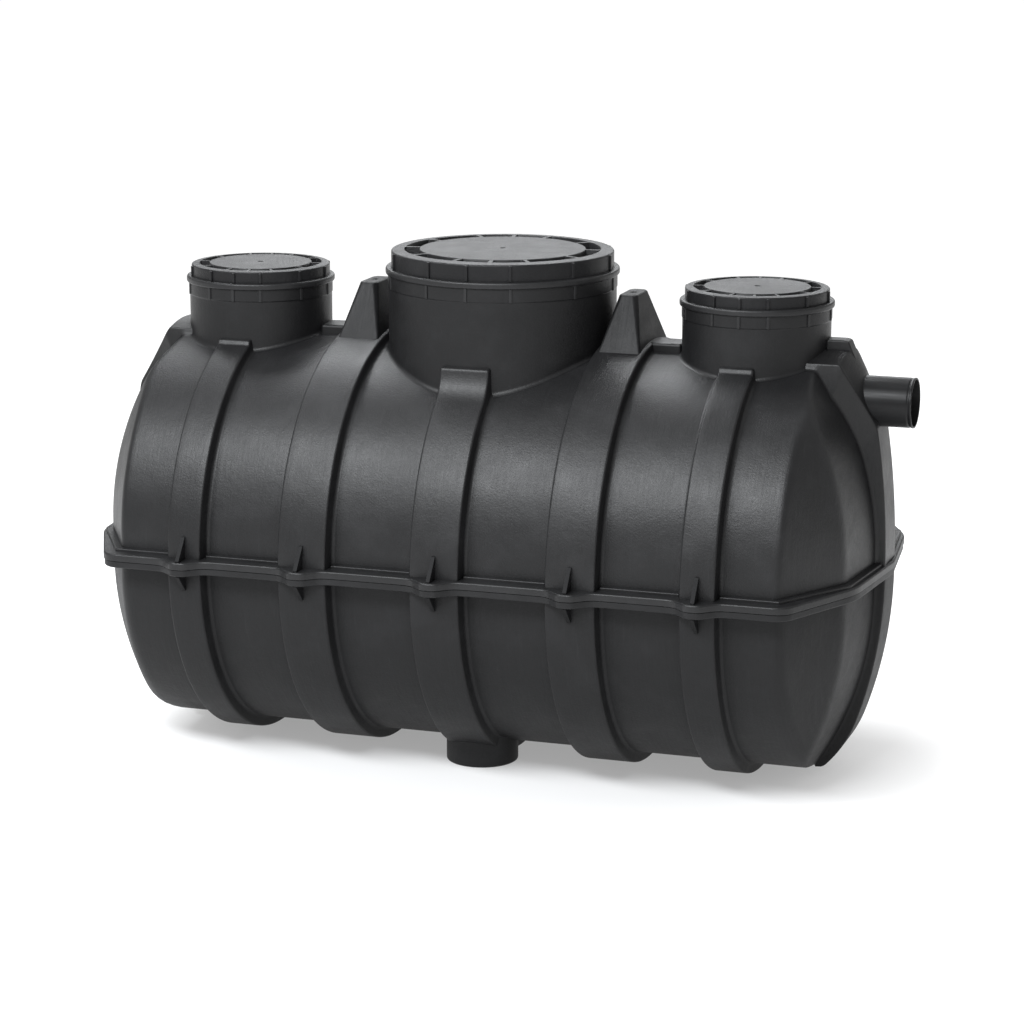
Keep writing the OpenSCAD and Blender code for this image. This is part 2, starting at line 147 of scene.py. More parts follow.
# how soft the bends are between a boss's stem, sloped panel and top, and an end rib's belly
BEND_SOFT = 0.006
# skins run on this far under a neck's wall
NECK_LAP = 0.006
# the rim of a hole in a skin ends this deep in the wall of the pipe or seal
RIM_IN_WALL = 0.002

# ---------- shapes as formulas ----------

# rays that look for the body's surface: their length, and how often it is halved
RAY_LENGTH = 0.8
HALVINGS = 34


def smooth_max(a, b, soft):
    """The larger of two values, rounded where they cross."""
    share = np.clip(0.5 + 0.5 * (a - b) / soft, 0, 1)
    return b + (a - b) * share + soft * share * (1 - share)


def smooth_min(a, b, soft):
    """The smaller of two values, rounded where they cross."""
    return -smooth_max(-a, -b, soft)


def outside(x, y, z, up):
    """Above 0 outside the body, below 0 inside: a barrel cut by two end faces and two corners."""
    centre = UP_CZ if up else LOW_CZ
    panel_centre = centre + (END_RISE if up else -END_DROP)
    value = np.hypot(y, z - centre) - BODY_R
    corner_soft, face_soft = CREASES[up]
    panels = ((CORNER_TURN, CORNER_REACH, corner_soft), (END_TURN, FACE_REACH, face_soft))
    for turn, reach, soft in panels:
        for side in (1, -1):
            across = np.abs(x) * math.cos(turn) + side * y * math.sin(turn)
            panel = np.hypot(across - (reach - END_R), z - panel_centre) - END_R
            value = smooth_max(value, panel, soft)
    return value


def cast(start, direction, up):
    """How far rays run from points inside the body to its surface, found by halving."""
    near = np.zeros(direction.shape[:-1])
    far = np.full(direction.shape[:-1], RAY_LENGTH)
    for _ in range(HALVINGS):
        halfway = (near + far) / 2
        point = start + direction * halfway[..., None]
        within = outside(point[..., 0], point[..., 1], point[..., 2], up) < 0
        near = np.where(within, halfway, near)
        far = np.where(within, far, halfway)
    return near


def crown(x, y):
    """Height of the body's top surface at points given by two arrays."""
    start = np.stack([x, y, np.full(x.shape, PART_Z)], -1)
    upward = np.broadcast_to([0.0, 0.0, 1.0], start.shape)
    return PART_Z + cast(start, upward, True)


def ray_to_circle(turn, centre, radius):
    """Distance from the parting plane's middle to a circle round (0, centre), along angle turn."""
    rise = centre - PART_Z
    return rise * np.sin(turn) + np.sqrt(radius**2 - (rise * np.cos(turn)) ** 2)


def ray_to_round(turn, centre_x, centre_z, radius):
    """Distance from the middle of an end's mouth to a circle in the x-z plane."""
    x, z = centre_x - SPLIT, centre_z - PART_Z
    along = x * math.cos(turn) + z * math.sin(turn)
    return along + math.sqrt(radius**2 - (x * x + z * z - along**2))


def quarter_turn(steps):
    """Angles from 0 to a right angle."""
    return np.linspace(0, math.pi / 2, steps)


def half_circle(up, steps, margin=0.0):
    """Angles round the upper or the lower half of the tank, less a margin at both ends."""
    first = 0 if up else math.pi
    return np.linspace(first + margin, first + math.pi - margin, steps)


def full_circle(steps):
    """Angles once round, without the last, which would repeat the first."""
    return np.linspace(0, 2 * math.pi, steps, endpoint=False)


def rounded(points, radius, steps=4):
    """A line through points whose inner corners are rounded off."""
    made = [points[0]]
    for before, here, after in zip(points, points[1:], points[2:]):
        a, p, b = (np.array(v, float) for v in (before, here, after))
        into, out = (a - p), (b - p)
        cut = min(radius, *(ROUND_SHARE * np.linalg.norm(line) for line in (into, out)))
        start = p + into / np.linalg.norm(into) * cut
        end = p + out / np.linalg.norm(out) * cut
        for t in np.linspace(0, 1, steps):
            made.append(tuple((1 - t) ** 2 * start + 2 * t * (1 - t) * p + t**2 * end))
    made.append(points[-1])
    return made


def box_points(low, high):
    """The eight corners of a box."""
    return list(itertools.product(*zip(low, high)))


def to_frame(points, side=1):
    """Points measured from the tank's middle, as points of the frame; side -1 mirrors them."""
    placed = np.array(points, float)
    placed[..., 0] = MID_X + side * placed[..., 0]
    return placed


# ---------- pieces ----------


def add_object(name, data):
    """A new object in the scene."""
    made = bpy.data.objects.new(name, data)
    bpy.context.scene.collection.objects.link(made)
    return made


class Piece:
    """One shown piece, gathered from grids, revolves and rounded solids."""

    def __init__(self):
        self.bm = bmesh.new()

    def grid(self, points, loop_u=False, loop_v=False, keep=None):
        """A sheet through an array of points, open or closed either way, with the cells to keep."""
        rows, cols = points.shape[:2]
        verts = [[self.bm.verts.new(p) for p in row] for row in points]
        for i in range(rows if loop_u else rows - 1):
            for j in range(cols if loop_v else cols - 1):
                k, m = (i + 1) % rows, (j + 1) % cols
                if keep is None or keep[i, j]:
                    self.bm.faces.new((verts[i][j], verts[k][j], verts[k][m], verts[i][m]))
        return self

    def revolve(self, profile, centre, along_x=False, steps=128):
        """Turns a line of (radius, height) about an upright axis, or one along x."""
        turn = full_circle(steps)
        radius, height = (np.array(v) for v in zip(*profile))
        round_a = radius[None, :] * np.cos(turn)[:, None]
        round_b = radius[None, :] * np.sin(turn)[:, None]
        tall = np.broadcast_to(height[None, :], round_a.shape)
        parts = (tall, round_a, round_b) if along_x else (round_a, round_b, tall)
        return self.grid(np.stack(parts, -1) + np.array(centre), loop_u=True)

    def solid(self, points, bevel, segments=3):
        """The convex solid round points, with its edges rounded."""
        part = bmesh.new()
        for p in points:
            part.verts.new(p)
        bmesh.ops.convex_hull(part, input=part.verts)
        bmesh.ops.dissolve_limit(
            part, angle_limit=math.radians(1), verts=part.verts, edges=part.edges
        )
        bmesh.ops.bevel(
            part,
            geom=part.edges[:],
            offset=bevel,
            segments=segments,
            profile=0.5,
            affect="EDGES",
            clamp_overlap=True,
        )
        mesh = bpy.data.meshes.new("part")
        part.to_mesh(mesh)
        part.free()
        self.bm.from_mesh(mesh)
        bpy.data.meshes.remove(mesh)
        return self

    def mesh(self, name, weld):
        """What was gathered, as one mesh, with points closer than weld joined."""
        bmesh.ops.remove_doubles(self.bm, verts=self.bm.verts, dist=weld)
        loose = [v for v in self.bm.verts if not v.link_faces]
        bmesh.ops.delete(self.bm, geom=loose, context="VERTS")
        bmesh.ops.recalc_face_normals(self.bm, faces=self.bm.faces)
        mesh = bpy.data.meshes.new(name)
        self.bm.to_mesh(mesh)
        self.bm.free()
        return mesh

    def show(self, name, material, *nodes, crisp=False, thick=0.0):
        """Makes the object, and lets it stand for CAD nodes."""
        mesh = self.mesh(name, 1e-6)
        mesh.shade_smooth()
        mesh.set_sharp_from_angle(angle=math.radians(40))
        mesh.materials.append(material)
        made = add_object(name, mesh)
        if thick:
            wall = made.modifiers.new("wall", "SOLIDIFY")
            wall.thickness = thick
            wall.offset = -1
        if crisp:
            normals = made.modifiers.new("flat faces", "WEIGHTED_NORMAL")
            normals.keep_sharp = True
        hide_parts(*nodes)
        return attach(made, "root")


# ---------- materials ----------


class Shader:
    """Short ways to add and link the nodes of one material."""

    def __init__(self, name, slot_name=""):
        self.material = bpy.data.materials.new(name)
        self.material.use_nodes = True
        self.material["slot"] = slot_name
        self.tree = self.material.node_tree
        self.surface = self.tree.nodes["Principled BSDF"]
        coords = self.tree.nodes.new("ShaderNodeTexCoord")
        self.point = coords.outputs["Object"]

    def put(self, socket, value):
        """Links a socket to another, or sets its number."""
        if isinstance(value, bpy.types.NodeSocket):
            self.tree.links.new(value, socket)
        else:
            socket.default_value = value

    def set(self, name, value):
        """The same for an input of the surface."""
        self.put(self.surface.inputs[name], value)

    def math(self, operation, *values):
        """A sum of sockets or numbers."""
        made = self.tree.nodes.new("ShaderNodeMath")
        made.operation = operation
        for socket, value in zip(made.inputs, values):
            self.put(socket, value)
        return made.outputs[0]

    def parts(self, vector):
        """The x, y and z of a vector."""
        made = self.tree.nodes.new("ShaderNodeSeparateXYZ")
        self.put(made.inputs[0], vector)
        return made.outputs

    def vector(self, x, y, z):
        """A vector from its x, y and z."""
        made = self.tree.nodes.new("ShaderNodeCombineXYZ")
        for socket, value in zip(made.inputs, (x, y, z)):
            self.put(socket, value)
        return made.outputs[0]

    def noise(self, vector, scale, detail=4.0, rough=0.55):
        """Noise from 0 to 1 over a vector."""
        made = self.tree.nodes.new("ShaderNodeTexNoise")
        self.put(made.inputs["Vector"], vector)
        made.inputs["Scale"].default_value = scale
        made.inputs["Detail"].default_value = detail
        made.inputs["Roughness"].default_value = rough
        return made.outputs["Fac"]

    def remap(self, value, low, high, to_low, to_high):
        """A value that eases from to_low to to_high as the given one goes from low to high."""
        made = self.tree.nodes.new("ShaderNodeMapRange")
        made.interpolation_type = "SMOOTHSTEP"
        names = ("Value", "From Min", "From Max", "To Min", "To Max")
        for name, given in zip(names, (value, low, high, to_low, to_high)):
            self.put(made.inputs[name], given)
        return made.outputs[0]

    def blend(self, share, a, b):
        """A mix of two colours, with share of the second."""
        made = self.tree.nodes.new("ShaderNodeMix")
        made.data_type = "RGBA"
        self.put(made.inputs[0], share)
        self.put(made.inputs[6], a)
        self.put(made.inputs[7], b)
        return made.outputs[2]

    def bump(self, height, depth, strength, below=None):
        """A normal that shows height as relief, over that of a coarser bump."""
        made = self.tree.nodes.new("ShaderNodeBump")
        made.inputs["Distance"].default_value = depth
        made.inputs["Strength"].default_value = strength
        self.put(made.inputs["Height"], height)
        if below is not None:
            self.put(made.inputs["Normal"], below)
        return made.outputs[0]


def grey(level, blue=1.06):
    """A grey that is slightly bluish unless told otherwise."""
    return (level, level, level * blue, 1.0)


def moulded(name, tone, rough, shine, streaks=1.0, grain=1.0, slot_name="tank_plastic"):
    """Black moulded plastic: mottled sheen, fine lines round the barrel and a soft waviness."""
    s = Shader(name, slot_name)
    x, y, z = s.parts(s.point)
    turn = s.math("ARCTAN2", y, s.math("SUBTRACT", z, PART_Z))
    round_barrel = s.vector(s.math("MULTIPLY", x, 60.0), s.math("MULTIPLY", turn, 2.0), 0.0)
    lines = s.noise(round_barrel, 3.0, 5.0, 0.7)
    clouds = s.noise(s.point, 9.0, 6.0, 0.65)
    specks = s.noise(s.point, 260.0, 3.0, 0.6)
    cloudy = s.math("MULTIPLY", clouds, 0.26)
    lined = s.math("MULTIPLY", lines, 0.16 * streaks)
    sheen = s.math("ADD", s.math("MULTIPLY", specks, 0.12), s.math("ADD", cloudy, lined))
    s.set("Roughness", s.math("ADD", rough - 0.25, sheen))
    pale = s.remap(clouds, 0.45, 0.72, 0.0, 1.0)
    colour = s.blend(pale, grey(tone * 0.85), grey(tone * 1.25))
    dust = s.remap(s.noise(round_barrel, 1.2, 6.0, 0.75), 0.56, 0.75, 0.0, 0.5 * streaks)
    s.set("Base Color", s.blend(dust, colour, grey(tone * 1.9)))
    waves = s.bump(s.noise(s.point, 7.0, 2.0, 0.4), 0.02, 0.18)
    fine = s.bump(lines, 0.0016, 0.35 * streaks, waves)
    brushed = s.bump(s.noise(s.point, 85.0, 4.0, 0.65), 0.0012, 0.35, fine)
    s.set("Normal", s.bump(specks, 0.0007, 0.55 * grain, brushed))
    s.set("Specular IOR Level", shine)
    return s.material


def extruded(name, slot_name, tone, rough, shine):
    """Pipe plastic with faint lines along its length."""
    s = Shader(name, slot_name)
    x, y, z = s.parts(s.point)
    scaled = [s.math("MULTIPLY", part, scale) for part, scale in ((x, 3.0), (y, 70.0), (z, 70.0))]
    lines = s.noise(s.vector(*scaled), 2.0, 4.0, 0.6)
    scuffs = s.noise(s.point, 30.0, 5.0, 0.7)
    s.set("Roughness", s.remap(lines, 0.3, 0.7, rough - 0.05, rough + 0.08))
    s.set("Base Color", s.blend(scuffs, grey(tone * 0.8), grey(tone * 1.3)))
    s.set("Normal", s.bump(lines, 0.0006, 0.3))
    s.set("Specular IOR Level", shine)
    return s.material


def rubber(name, slot_name, tone):
    """Matt rubber with a dusty bloom."""
    s = Shader(name, slot_name)
    bloom = s.noise(s.point, 45.0, 5.0, 0.7)
    s.set("Roughness", s.remap(bloom, 0.3, 0.7, 0.62, 0.8))
    s.set("Base Color", s.blend(bloom, grey(tone * 0.7, 1.0), grey(tone * 1.4, 1.0)))
    s.set("Normal", s.bump(s.noise(s.point, 500.0), 0.0004, 0.3))
    return s.material


# the lower half is duller than the upper
UPPER = moulded("upper_black", 0.010, 0.42, 0.32)
LOWER = moulded("lower_black", 0.010, 0.54, 0.22)
# the ends' bosses, ribs and ridge take a darker copy of the barrel's plastic: painted shade on their
# side walls
END_UPPER_SHADED = moulded("end_upper_shaded_black", 0.006, 0.42, 0.36)
END_LOWER_SHADED = moulded("end_lower_shaded_black", 0.006, 0.54, 0.25)
TRIM_UPPER = moulded("trim_upper_black", 0.011, 0.44, 0.33, streaks=0.5)
TRIM_LOWER = moulded("trim_lower_black", 0.011, 0.53, 0.24, streaks=0.5)
# the necks and crown ridges take a darker copy of the barrel's plastic: painted shade on these
# upright walls
NECK = moulded("neck_shaded_black", 0.008, 0.46, 0.26, streaks=0.4)
# the horns take a darker copy of the barrel's plastic: painted shade on their faces and sides
HORN_SHADED = moulded("horn_shaded_black", 0.008, 0.46, 0.2, streaks=1.4)
FIN = moulded("fin_black", 0.010, 0.60, 0.11, streaks=0.3)
LID = moulded("lid_black", 0.011, 0.42, 0.18, streaks=0.3, grain=2.0, slot_name="lid_plastic")
PIPE = extruded("pipe_black", "pipe_plastic", 0.008, 0.36, 0.2)
SEAL = rubber("seal_black", "seal_rubber", 0.012)


# ---------- half shells and ends ----------


def half_name(up):
    """The word for a half in the nodes' names."""
    return "upper" if up else "lower"


def side_name(side):
    """The word for a side in the nodes' names."""
    return "right" if side > 0 else "left"


def skin_black(up):
    """The plastic of a half's skins and ribs."""
    return UPPER if up else LOWER


def neck_hole(points):
    """False for the cells of a grid that lie within a neck."""
    cells = (points[:-1, :-1] + points[1:, 1:]) / 2
    keep = np.ones(cells.shape[:2], bool)
    for node in NECK_AT_RIB.values():
        centre, radius = centre_of(node), half_of(node)[0]
        distance = np.hypot(cells[..., 0] - centre[0], cells[..., 1] - centre[1])
        keep &= (distance > radius - NECK_LAP) | (cells[..., 2] < PART_Z)
    return keep


def pierce(points, side):
    """Opens a sheet for the outlet pipe or the inlet's seal: its points, and the cells to keep.

    The hole's rim ends inside the wall of the pipe or seal, whose own bore stays free.
    """
    node = "outlet_pipe" if side > 0 else "inlet_seal"
    centre_z, radius = centre_of(node)[2], half_of(node)[2] - RIM_IN_WALL
    y, rise = points[..., 1], points[..., 2] - centre_z
    distance = np.hypot(y, rise)
    clear = distance > radius
    keep = clear[:-1, :-1] | clear[1:, :-1] | clear[:-1, 1:] | clear[1:, 1:]
    spread = np.maximum(1.0, radius / np.maximum(distance, 1e-6))
    moved = np.stack([points[..., 0], y * spread, centre_z + rise * spread], -1)
    return moved, keep


def shell(up):
    """The barrel between the end mouldings."""
    turn = half_circle(up, 150)[:, None]
    x = np.linspace(-SPLIT, SPLIT, 180)[None, :]
    reach = ray_to_circle(turn, UP_CZ if up else LOW_CZ, BODY_R)
    parts = np.broadcast_arrays(x, reach * np.cos(turn), PART_Z + reach * np.sin(turn))
    points = to_frame(np.stack(parts, -1))
    name = f"shell_{half_name(up)}"
    piece = Piece().grid(points, keep=neck_hole(points))
    piece.show(name + "_skin", skin_black(up), name, thick=WALL)


def end(up, side):
    """A domed end with soft creases between its panels."""
    turn = half_circle(up, 180)[:, None]
    lean = np.linspace(0.002, math.pi / 2, 110)[None, :]
    parts = (np.cos(lean), np.sin(lean) * np.cos(turn), np.sin(lean) * np.sin(turn))
    direction = np.stack(np.broadcast_arrays(*parts), -1)
    start = np.array([SPLIT, 0, PART_Z])
    points = to_frame(start + direction * cast(start, direction, up)[..., None], side)
    keep = neck_hole(points)
    if up:
        points, off_pipe = pierce(points, side)
        keep &= off_pipe
    name = f"end_{half_name(up)}_{side_name(side)}"
    piece = Piece().grid(points, keep=keep)
    piece.show(name + "_skin", skin_black(up), name, thick=WALL)


# ---------- raised bands: ribs, end ribs and bosses ----------


def band(turns, base, top, half, place, bulge=None, columns=5):
    """The sheet of a raised band along turns, with a fillet, a wall, a rounded edge and a face.

    base, top and half give the body's distance from the band's pole, the band's own, and half its
    width. place puts its points into the frame, and bulge says how far the face's middle swells.
    """
    arc = quarter_turn(5)
    rows = []
    for turn in turns:
        wide, height = half(turn), top(turn)
        depth = max(height - float(np.min(base(turn, np.array([0.0, wide])))), 0.001)
        fillet, edge = min(FILLET, ROUND_SHARE * depth), min(EDGE, ROUND_SHARE * depth)
        foot = wide + fillet * (1 - np.sin(arc))
        foot_height = base(turn, foot) + fillet * (1 - np.cos(arc)) + LIFT
        rim = wide - DRAFT - edge * (1 - np.cos(arc))
        rim_height = height - edge * (1 - np.sin(arc))
        face = np.linspace(rim[-1], -rim[-1], columns + 2)[1:-1]
        lateral = np.concatenate([foot, rim, face, -rim[::-1], -foot[::-1]])
        risen = height + (bulge(turn) if bulge else 0.0) * (1 - (face / rim[-1]) ** 2)
        near_side = [foot_height, rim_height]
        far_side = [rim_height[::-1], foot_height[::-1]]
        rows.append(place(turn, lateral, np.concatenate(near_side + [risen] + far_side)))
    return np.array(rows)


# the ribs stop this far from the parting plane
RIB_MARGIN = math.radians(1.6)
# the small level ledge in which a rib ends against a neck: how far it stands out from the neck,
# how soft its brink is, and how softly it blends into the rib
LEDGE_OUT = 0.008
LEDGE_SOFT = 0.010
LEDGE_BLEND = {1: 0.020, 3: 0.060, 5: 0.020}


def rib_sheets(number, up, base, rib_top, half, place):
    """The sheets of a rib round the barrel: one, or two that end in ledges against a neck."""
    if not up or number not in NECK_AT_RIB:
        return [band(half_circle(up, 150, RIB_MARGIN), base, rib_top, half, place)]
    neck_r = half_of(NECK_AT_RIB[number])[1]
    ledge_rise = corners(f"rib_upper_{number}")[1][2] - PART_Z
    lip = neck_r + LEDGE_OUT

    def ledge_top(turn):
        level = ledge_rise / math.sin(turn)
        upright = lip / abs(math.cos(turn))
        ledge = smooth_min(level, upright, LEDGE_SOFT)
        return float(smooth_max(rib_top(turn), ledge, LEDGE_BLEND[number]))

    # the rows are closer together where the ledge bends, and they end inside the neck's wall
    bend = math.atan2(ledge_rise - 0.060, lip)
    stop = math.atan2(ledge_rise, neck_r - 0.009)
    turns = np.concatenate([np.linspace(RIB_MARGIN, bend, 70), np.linspace(bend, stop, 36)[1:]])
    return [band(angles, base, ledge_top, half, place) for angles in (turns, math.pi - turns)]


def wrap_rib(number, up):
    """A rib round the barrel's upper or lower half."""
    name = f"rib_{half_name(up)}_{number}"
    middle, wide = centre_of(name)[0], half_of(name)[0]
    body_centre = UP_CZ if up else LOW_CZ
    rib_centre = RIB_TOP - RIB_R if up else RIB_R

    def base(turn, lateral):
        return ray_to_circle(turn, body_centre, BODY_R) + 0 * lateral

    def rib_top(turn):
        return float(ray_to_circle(turn, rib_centre, RIB_R))

    def place(turn, lateral, reach):
        y, z = reach * math.cos(turn), PART_Z + reach * math.sin(turn)
        return np.stack([middle + lateral, y, z], -1)

    piece = Piece()
    for sheet in rib_sheets(number, up, base, rib_top, lambda turn: wide, place):
        piece.grid(sheet)
    piece.show(name + "_band", skin_black(up), name)


def end_place(side):
    """Where the points of a band that runs over an end lie."""

    def place(turn, lateral, reach):
        parts = (SPLIT + reach * math.cos(turn), lateral, PART_Z + reach * math.sin(turn))
        return to_frame(np.stack(np.broadcast_arrays(*parts), -1), side)

    return place


def end_base(up):
    """The body's surface under a band that runs over an end."""

    def base(turn, lateral):
        start = np.stack(np.broadcast_arrays(SPLIT, lateral, PART_Z), -1)
        direction = np.broadcast_to([math.cos(turn), 0, math.sin(turn)], start.shape)
        return cast(start, direction, up)

    return base


def end_rib(side):
    """The rib that runs down an end in one long curve and turns in tightly at the belly."""
    belly = LOW_CZ - BODY_R
    turn_z = FLANGE_LOW - LONG_R * math.sin(TIGHT_TURN)
    long_x = BOSS_X - LONG_R
    tight_x = long_x + (LONG_R - TIGHT_R) * math.cos(TIGHT_TURN)
    tight_z = FLANGE_LOW - (LONG_R - TIGHT_R) * math.sin(TIGHT_TURN)

    def top(turn):
        reach = ray_to_round(turn, long_x, FLANGE_LOW, LONG_R)
        if PART_Z + reach * math.sin(turn) < turn_z:
            reach = ray_to_round(turn, tight_x, tight_z, TIGHT_R)
        return float(smooth_min(reach, (PART_Z - belly) / -math.sin(turn), BEND_SOFT))

    turns = np.radians(np.linspace(-2.6, -74.5, 110))
    sheet = band(turns, end_base(False), top, lambda turn: END_RIB_HALF, end_place(side))
    name = f"end_rib_lower_{side_name(side)}"
    Piece().grid(sheet).show(name + "_band", END_LOWER_SHADED, name)


def boss(side):
    """The stem up an end, which widens into the boss under the neck."""
    rise, lean = PANEL_FOOT[1] - FLANGE_TOP, BOSS_X - PANEL_FOOT[0]
    bow_r = (rise**2 + lean**2) / (2 * lean)
    back, tall = PANEL_BACK[side] - (TIP - PANEL_FOOT[0]), PANEL_TOP - PANEL_FOOT[1]
    normal = np.array([tall, back]) / math.hypot(tall, back)
    panel_reach = float(normal @ (np.array(PANEL_FOOT) - np.array([SPLIT, PART_Z])))
    swell, swell_from, swell_full = SWELL[side]

    def top(turn):
        stem = ray_to_round(turn, BOSS_X - bow_r, FLANGE_TOP, bow_r)
        panel = panel_reach / float(normal @ np.array([math.cos(turn), math.sin(turn)]))
        level = (BOSS_Z - PART_Z) / math.sin(turn)
        return float(smooth_min(smooth_min(stem, panel, BEND_SOFT), level, BEND_SOFT))

    def height(turn):
        return PART_Z + top(turn) * math.sin(turn)

    def bulge(turn):
        share = (height(turn) - swell_from) / (swell_full - swell_from)
        return swell * float(np.clip(share, 0, 1))

    def half(turn):
        share = np.clip((height(turn) - FUNNEL_Z) / (FUNNEL_TOP - FUNNEL_Z), 0, 1)
        return END_RIB_HALF + (FUNNEL_HALF - END_RIB_HALF) * float(share) ** 1.5

    # the rows are closer together on the boss than on its stem
    turns = np.radians(np.concatenate([np.linspace(1.9, 50, 70), np.linspace(50.3, 79.5, 88)]))
    sheet = band(turns, end_base(True), top, half, end_place(side), bulge, 41)
    points, keep = pierce(sheet, side)
    name = "boss_outlet" if side > 0 else "boss_inlet"
    Piece().grid(points, keep=keep).show(name + "_skin", END_UPPER_SHADED, name)


# ---------- flange ----------

FLANGE_Y = BODY_R + 0.044
FLANGE_CORNER = CORNER_REACH + 0.038
FLANGE_CORNER_TURN = math.radians(25.4)
# half a lug: how far each point lies from its middle, and how far it stands out
LUG = ((0.080, 0.0), (0.048, 0.002), (0.016, 0.032), (0.0, 0.034))
# half the slit between the upper and the lower flange
SEAM = 0.0004


def plan_corners(half_width, tip, corner_turn, corner_reach):
    """Corners of a quarter of a plan with a straight side, a corner panel and an end face."""
    side_x = (corner_reach - half_width * math.sin(corner_turn)) / math.cos(corner_turn)
    lines = [[math.cos(turn), math.sin(turn)] for turn in (corner_turn, END_TURN)]
    meet = np.linalg.solve(lines, [corner_reach, tip * math.cos(END_TURN)])
    return [(side_x, half_width), tuple(meet), (tip, 0.0)]


def lug(x, right_half=False):
    """Outline of the blunt lug at a rib, or of its right half alone for the middle rib."""
    left = [(x - away, FLANGE_Y + out) for away, out in LUG]
    right = [(x + away, FLANGE_Y + out) for away, out in LUG[::-1]]
    return rounded(right if right_half else left + right[1:], 0.022, 8)


def all_round(quarter):
    """A closed outline from its first quarter, which runs from the side's middle to the tip."""
    back = [(x, -y) for x, y in quarter[::-1]]
    right = quarter + back[1:]
    return np.array(right + [(-x, y) for x, y in right[::-1]][1:-1])


def flange_outline(inset):
    """The flange's outline with its lugs, moved inward by inset."""
    start = lug(0.0, right_half=True) + lug(RIB_XS[3]) + lug(RIB_XS[4])
    plan = plan_corners(FLANGE_Y, FLANGE_TIP, FLANGE_CORNER_TURN, FLANGE_CORNER)
    outline = all_round(start + rounded([start[-1]] + plan, 0.032, 8)[1:])
    along = np.roll(outline, -1, 0) - np.roll(outline, 1, 0)
    inward = np.stack([along[:, 1], -along[:, 0]], -1) / np.linalg.norm(along, axis=1)[:, None]
    return outline + inward * inset


def at_height(outline, height):
    """An outline of (x, y) as points at one height."""
    return np.column_stack([outline, np.full(len(outline), height)])


def body_edge(outline, depth):
    """For each point of an outline, the point inward from it that lies depth inside the body."""
    anchor = np.stack([np.clip(outline[:, 0], -0.6, 0.6), np.zeros(len(outline))], -1)
    flat = outline - anchor
    direction = at_height(flat / np.linalg.norm(flat, axis=1)[:, None], 0.0)
    start = at_height(anchor, PART_Z)
    reach = cast(start, direction, True) - depth
    return (start + direction * reach[:, None])[:, :2]


def flange(low, high, inset, soft_top, soft_foot):
    """A ring round the body with a rounded rim, and lugs at the ribs."""
    arc = quarter_turn(5)
    foot = [(soft_foot * (1 - math.sin(a)), low + soft_foot * (1 - math.cos(a))) for a in arc]
    rim = [(soft_top * (1 - math.cos(a)), high - soft_top * (1 - math.sin(a))) for a in arc]
    rings = [at_height(flange_outline(inset + cut), height) for cut, height in foot + rim]
    inner = body_edge(flange_outline(inset), 0.004)
    rings += [at_height(inner, high), at_height(inner, low)]
    return Piece().grid(to_frame(np.array(rings)), loop_u=True, loop_v=True)


# the low step along the foot of the upper wall: how far it stands out of the wall and reaches
# into it, its foot and top, its gap to the ribs and the softness of its edges
STEP_OUT = 0.015
STEP_IN = 0.006
STEP_FOOT = FLANGE_TOP - 0.004
STEP_TOP = FLANGE_TOP + 0.006
STEP_GAP = 0.003
STEP_SOFT = 0.0022


def step_line(half_width, tip, corner_reach):
    """The step's plan round a corner, from the last rib to the boss's stem."""
    side_point, bend, point = plan_corners(half_width, tip, CORNER_TURN, corner_reach)
    share = 1 - (END_RIB_HALF + STEP_GAP) / bend[1]
    last = bend + (np.array(point) - bend) * share
    return [(RIB_XS[4] + RIB_HALVES[4] + STEP_GAP, half_width), side_point, bend, tuple(last)]


def foot_steps(piece):
    """Low steps along the foot of the upper wall, between the ribs and round the corners."""
    for i in range(4):
        first = RIB_XS[i] + RIB_HALVES[i] + STEP_GAP
        last = RIB_XS[i + 1] - RIB_HALVES[i + 1] - STEP_GAP
        for side in (1, -1):
            near, far = sorted((side * (BODY_R - STEP_IN), side * (BODY_R + STEP_OUT)))
            points = box_points((first, near, STEP_FOOT), (last, far, STEP_TOP))
            piece.solid(to_frame(points), STEP_SOFT)
    tip_out = TIP + STEP_OUT / math.cos(END_TURN)
    outer = step_line(BODY_R + STEP_OUT, tip_out, CORNER_REACH + STEP_OUT)
    inner = step_line(BODY_R - STEP_IN, TIP - STEP_IN, CORNER_REACH - STEP_IN)
    for side_x, side_y, k in itertools.product((1, -1), (1, -1), range(3)):
        flat = [outer[k], outer[k + 1], inner[k + 1], inner[k]]
        points = [(x, side_y * y, z) for x, y in flat for z in (STEP_FOOT, STEP_TOP)]
        piece.solid(to_frame(points, side_x), STEP_SOFT)


# ---------- necks, rings and lids ----------

# the faint band under a ring: how far it stands out, and how far below the ring it starts
NECK_BAND = 0.0015
BAND_DROP = {"left": 0.026, "middle": 0.029, "right": 0.026}
# how far down the inside of a neck's wall is shown
INSIDE_DEPTH = 0.09
RING_HEIGHT = 0.015
# angles of the small upright studs round rings and lids, in degrees from the tank's front, and
# how much further round the bars between a lid's pockets stand
FRONT = -90
STUDS = (0, 22, 56, 90, 124, 158, 180, 202, 236, 270, 304, 338)
BAR_SHIFT = 11
STUD_HALF = 0.0036
STUD_OUT = 0.004
# how much narrower a lid is than its neck, on each side
LID_BACK = {"left": 0.005, "middle": 0.0062, "right": 0.005}
# the ring of pockets in a lid: its edges as shares of the radius, its depth, how far its walls
# lean, half the width of the bars between the pockets and of the slopes beside them, in radians
POCKET_OUTER = 0.875
POCKET_INNER = 0.75
POCKET_DEPTH = 0.014
POCKET_LEAN = 0.0018
BAR_HALF = 0.022
BAR_SLOPE = 0.012
# rows that close a middle end this far from the axis
AXIS = 0.0001


